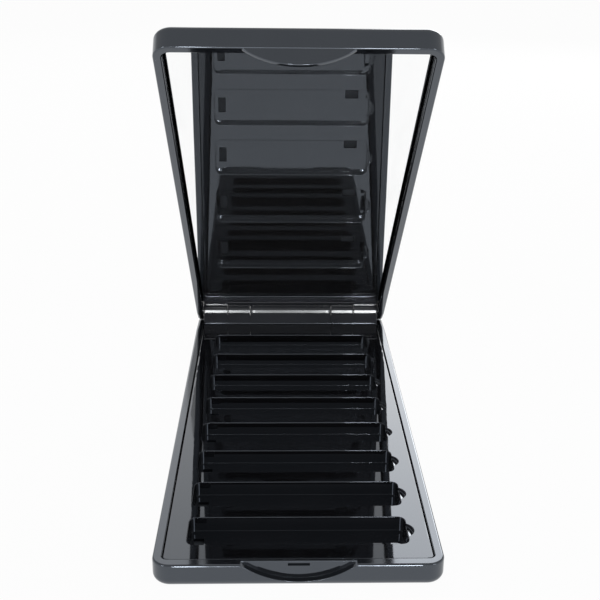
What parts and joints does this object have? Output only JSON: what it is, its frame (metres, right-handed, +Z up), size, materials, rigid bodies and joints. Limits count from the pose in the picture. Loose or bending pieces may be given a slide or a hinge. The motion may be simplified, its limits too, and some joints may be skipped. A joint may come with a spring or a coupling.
{
  "type": "makeup palette box",
  "caption": "Slim hinged makeup palette box: moulded base with a glossy tray of long wells, and a lid with a mirror.",
  "frame": {"origin": "centre of the box's outline at the level of the surface it stands on", "axes": "+Y from the front edge with the thumb recess back to the hinge, +X to the right, +Z up"},
  "size_m": [0.064, 0.1532, 0.1136],
  "materials": {
    "case_plastic": "semi-gloss charcoal black, moulded",
    "tray_plastic": "high-gloss black, moulded",
    "mirror_glass": "silvered glass, polished",
    "foam_tape": "white double-sided foam tape",
    "pin_steel": "drawn steel wire"
  },
  "bodies": {
    "base": {"base_shell": "case_plastic", "well_tray": "tray_plastic", "hinge_pin_left": "pin_steel", "hinge_pin_right": "pin_steel"},
    "lid": {"lid_shell": "case_plastic", "mirror": "mirror_glass", "mirror_tape_left": "foam_tape", "mirror_tape_right": "foam_tape"}
  },
  "joints": [
    {"name": "lid_hinge", "type": "hinge", "parent": "base", "child": "lid", "pos_m": [0, 0.0735, 0.0089], "axis": [-1, 0, 0], "range_deg": [-43.4, 96.6]}
  ]
}
